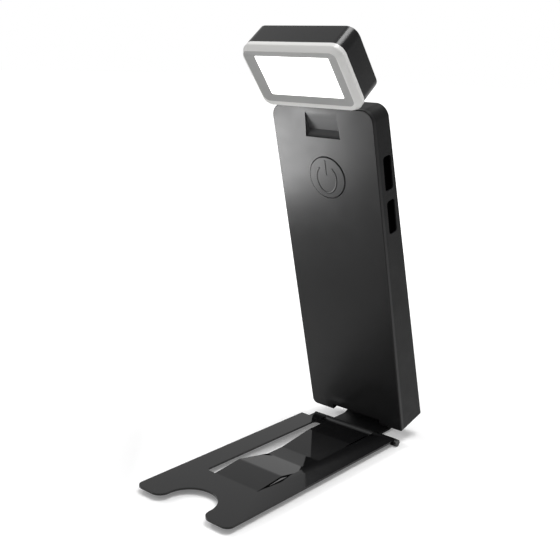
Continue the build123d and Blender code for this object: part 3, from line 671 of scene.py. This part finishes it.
def rounded_outlines(rows, steps):
    """Outlines of rounded rectangles, one row for each, all with the same count of points.

    A row gives the width, the height, the corner radius and the rise of its middle. A corner is a
    quarter circle about the point that lies its radius in from both sides.
    """
    turn = np.linspace(0, math.pi / 2, steps)
    outlines = []
    for width, height, radius, rise in rows:
        half_w, half_h = width / 2 - radius, height / 2 - radius
        corners = []
        for quarter, (sign_x, sign_y) in enumerate(((1, 1), (-1, 1), (-1, -1), (1, -1))):
            angle = turn + quarter * math.pi / 2
            across = sign_x * half_w + radius * np.cos(angle)
            upward = sign_y * half_h + radius * np.sin(angle) + rise
            corners.append(np.stack([across, upward], axis=-1))
        outlines.append(np.concatenate(corners))
    return np.array(outlines)


def head_points(outlines, depths):
    """Points of outlines on the lamp head, each row at its depth behind the front of the bezel."""
    backward = np.array(depths)[:, None]
    placed = leaning(outlines[..., 0], outlines[..., 1], backward, head_up, head_back)
    return np.array(bezel_centre) + placed


bezel_bottom = spread_along("head_bezel", head_up)[0]
bezel_face = spread_along("head_bezel", head_back)[0]
bezel_middle = bezel_bottom - bezel_drop + bezel_height / 2
bezel_centre = head_up * bezel_middle + head_back * bezel_face
facet_back = np.array([0.0, facet_depth])
facet_front = np.array([facet_width, 0.0])
along_facet = (facet_front - facet_back) / np.linalg.norm(facet_front - facet_back) * facet_round
on_wall = facet_back + [0.0, facet_round]
on_face = facet_front + [facet_round / round_ratio, 0.0]
edge = np.concatenate(
    [
        bent(on_wall, facet_back, facet_back + along_facet, bend_steps),
        bent(facet_front - along_facet, facet_front, on_face, bend_steps),
    ]
)
outer_rows = [
    (bezel_width - 2 * inset, bezel_height - 2 * inset, outer_corner - inset, 0.0)
    for inset in edge[:, 0]
]
rim = (rim_width, rim_height, rim_corner, rim_rise)
rim_edge = (rim_width + 2 * rim_round, rim_height + 2 * rim_round, rim_corner + rim_round, rim_rise)
window = (window_width, window_height, window_corner, window_rise)
window_edge = (
    window_width + 2 * rim_round,
    window_height + 2 * rim_round,
    window_corner + rim_round,
    window_rise,
)
wall = (
    bezel_width - 2 * bezel_wall,
    bezel_height - 2 * bezel_wall,
    outer_corner - bezel_wall,
    0.0,
)
inner_rows = [
    (rim_edge, 0.0),
    (rim, rim_round / round_ratio),
    (window_edge, window_depth - rim_round / round_ratio),
    (window, window_depth),
    (window, lip_depth),
    (wall, lip_depth),
    (wall, bezel_depth),
    ((bezel_width, bezel_height, outer_corner, 0.0), bezel_depth),
]
outlines = rounded_outlines(outer_rows + [row for row, depth in inner_rows], corner_steps)
depths = list(edge[:, 1]) + [depth for row, depth in inner_rows]
bezel = mesh_piece(
    "bezel_frame",
    head_points(outlines, depths),
    grid_quads(*outlines.shape[:2], closed_rows=True, closed_columns=True),
    pale_plastic,
    "head",
)
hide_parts("head_bezel")
bezel.data.materials.append(bevel_painted_shade)
bezel.data.materials.append(edge_painted_light)
bevel_start = len(edge) + 1
bands = np.zeros(len(outlines), dtype=np.int32)
# Band 1 is the inner bevel, with its painted shade.
bands[bevel_start : bevel_start + bevel_bands] = 1
# Band 2 is the outer wall, with its painted highlight.
bands[-1] = 2
bezel.data.polygons.foreach_set("material_index", np.repeat(bands, outlines.shape[1]))

# Light source: an opal diffuser in the window, over a clear light guide and a white reflector,
# with a strip of diodes along the top edge. The light is on.
opal_colour = (0.9, 0.9, 0.88, 1)
opal_rough = 0.35
opal_glow = 1.3
window_gap = 0.0001
panel_round = 0.0001
opal, opal_surface = skinned("lit_opal", pits=1500, depth=0.00002, height="Grain")[:2]
opal_surface.inputs["Base Color"].default_value = opal_colour
opal_surface.inputs["Roughness"].default_value = opal_rough
opal_surface.inputs["Emission Color"].default_value = (1, 1, 1, 1)
opal_surface.inputs["Emission Strength"].default_value = opal_glow
clear = finish(
    "clear_guide",
    dark=(0.8, 0.82, 0.83),
    light=(0.86, 0.88, 0.89),
    rough=(0.08, 0.12),
    pits=900,
    depth=0.000005,
)
film = finish(
    "white_film",
    dark=(0.82, 0.82, 0.8),
    light=(0.88, 0.88, 0.86),
    rough=(0.4, 0.5),
    pits=1500,
    depth=0.00001,
)
phosphor = finish(
    "diode_phosphor",
    dark=(0.75, 0.6, 0.16),
    light=(0.85, 0.7, 0.22),
    rough=(0.3, 0.4),
    pits=1500,
    depth=0.00001,
)
panel_half = spread_along("diffuser_panel", Vector((1, 0, 0)))[1]
panel_low, panel_high = spread_along("diffuser_panel", head_up)
panel_back = spread_along("diffuser_panel", head_back)[1] - bezel_face
panel_rise = (panel_low + panel_high) / 2 - bezel_middle
pane_width = window_width - 2 * window_gap
pane_height = window_height - 2 * window_gap
pane = (pane_width, pane_height, window_corner, window_rise)
pane_front = (
    pane_width - 2 * panel_round,
    pane_height - 2 * panel_round,
    window_corner - panel_round,
    window_rise,
)
foot = (2 * panel_half, panel_high - panel_low, window_corner, panel_rise)
panel_rows = [
    (foot, panel_back),
    (foot, lip_depth + window_gap),
    (pane, lip_depth + window_gap),
    (pane, window_depth + panel_round),
    (pane_front, window_depth),
]
panel_outlines = rounded_outlines([row for row, depth in panel_rows], corner_steps)
diffuser = mesh_piece(
    "diffuser_pane",
    head_points(panel_outlines, [depth for row, depth in panel_rows]),
    tube_faces(*panel_outlines.shape[:2]),
    opal,
    "head",
)
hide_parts("diffuser_panel")
dress("light_guide", clear)
dress("reflector_sheet", film)
dress("led_board", laminate)
dress("leds", phosphor)

# Stage: a white paper table and a white backdrop. The paper glows more with distance, for the
# camera alone, and the light that the object gets from the sky is weaker from the right.
table_reach = 6.0
paper_white = (0.9, 0.9, 0.9, 1)
paper_rough = 0.9
glow_start = 0.1
glow_end = 0.5
glow_near = 0.16
glow_far = 0.7
floor_mesh = bpy.data.meshes.new("table_top")
floor_mesh.from_pydata(
    [(x * table_reach, y * table_reach, 0) for x, y in ((-1, -1), (1, -1), (1, 1), (-1, 1))],
    [],
    [(0, 1, 2, 3)],
)
floor = bpy.data.objects.new("table_top", floor_mesh)
bpy.context.scene.collection.objects.link(floor)
paper = bpy.data.materials.new("white_paper")
paper.use_nodes = True
paper_tree = paper.node_tree
paper_surface = paper_tree.nodes["Principled BSDF"]
paper_surface.inputs["Base Color"].default_value = paper_white
paper_surface.inputs["Roughness"].default_value = paper_rough
paper_surface.inputs["Specular IOR Level"].default_value = 0.0
paper_surface.inputs["Emission Color"].default_value = (1, 1, 1, 1)
paper_path = paper_tree.nodes.new("ShaderNodeLightPath")
paper_place = paper_tree.nodes.new("ShaderNodeTexCoord")
paper_far = paper_tree.nodes.new("ShaderNodeVectorMath")
paper_far.operation = "LENGTH"
paper_tree.links.new(paper_place.outputs["Object"], paper_far.inputs[0])
paper_glow = ranged(
    paper_tree, paper_far.outputs["Value"], glow_start, glow_end, glow_near, glow_far
)
paper_seen = paper_tree.nodes.new("ShaderNodeMath")
paper_seen.operation = "MULTIPLY"
paper_tree.links.new(paper_path.outputs["Is Camera Ray"], paper_seen.inputs[0])
paper_tree.links.new(paper_glow, paper_seen.inputs[1])
paper_tree.links.new(paper_seen.outputs[0], paper_surface.inputs["Emission Strength"])
floor_mesh.materials.append(paper)

sky_left = 0.64
sky_right = 0.30
sky_turn_start = 0.1
sky_turn_end = 0.8
world = bpy.data.worlds.new("studio")
bpy.context.scene.world = world
world.use_nodes = True
sky_tree = world.node_tree
sky = sky_tree.nodes["Background"]
sky.inputs["Color"].default_value = (1, 1, 1, 1)
sky_path = sky_tree.nodes.new("ShaderNodeLightPath")
sky_place = sky_tree.nodes.new("ShaderNodeTexCoord")
sky_axes = sky_tree.nodes.new("ShaderNodeSeparateXYZ")
sky_tree.links.new(sky_place.outputs["Generated"], sky_axes.inputs[0])
sky_side = ranged(
    sky_tree, sky_axes.outputs["X"], sky_turn_start, sky_turn_end, sky_left, sky_right, "SMOOTHSTEP"
)
sky_seen = ranged(sky_tree, sky_path.outputs["Is Camera Ray"], 0.0, 1.0)
sky_tree.links.new(sky_side, sky_seen.node.inputs["To Min"])
sky_tree.links.new(sky_seen, sky.inputs["Strength"])

# Lamps: a large soft one overhead, and a small near one at the left, which makes the sheen on the
# case. The bezel is left out of its light, because it would turn the lower edge plain white.
spared = bpy.data.collections.new("spared_by_left_box")
spared.objects.link(bezel)
spared.collection_objects[0].light_linking.link_state = "EXCLUDE"


def soft_box(name, place, aim, size, power):
    """A square area lamp that points from its place to its aim."""
    lamp = bpy.data.lights.new(name, "AREA")
    lamp.shape = "SQUARE"
    lamp.size = size
    lamp.energy = power
    holder = bpy.data.objects.new(name, lamp)
    bpy.context.scene.collection.objects.link(holder)
    holder.location = place
    holder.rotation_euler = (Vector(aim) - Vector(place)).to_track_quat("-Z", "Y").to_euler()
    return holder


soft_box("top_box", place=(0.15, 0.15, 1.2), aim=(0, 0, 0.08), size=0.55, power=8.0)
left_box = soft_box(
    "left_box",
    place=(-0.092, -0.098, 0.078),
    aim=(-0.02, -0.035, 0.125),
    size=0.05,
    power=0.18,
)
left_box.visible_camera = False
left_box.light_linking.receiver_collection = spared

# Camera: at the place and angle of the photograph, with a lens as long as the one that took it,
# for a square frame of the same size.
view_place = Vector((0.20944, -0.31004, 0.15731))
view_turn = math.radians(39.857)
view_drop = math.radians(13.859)
view_roll = math.radians(1.999)
image_width = 560
focal_pixels = 893.06
forward = Vector(
    (
        -math.sin(view_turn) * math.cos(view_drop),
        math.cos(view_turn) * math.cos(view_drop),
        -math.sin(view_drop),
    )
)
level_right = forward.cross(Vector((0, 0, 1))).normalized()
level_up = level_right.cross(forward)
right = math.cos(view_roll) * level_right + math.sin(view_roll) * level_up
up = math.cos(view_roll) * level_up - math.sin(view_roll) * level_right
camera_data = bpy.data.cameras.new("camera")
camera_data.sensor_width = 36.0
camera_data.lens = focal_pixels / image_width * camera_data.sensor_width
camera_data.clip_start = 0.01
camera_data.clip_end = 100.0
camera = bpy.data.objects.new("camera", camera_data)
bpy.context.scene.collection.objects.link(camera)
turned = Matrix((right, up, -forward)).transposed().to_4x4()
camera.matrix_world = Matrix.Translation(view_place) @ turned
bpy.context.scene.camera = camera
bpy.context.scene.view_settings.view_transform = "Standard"
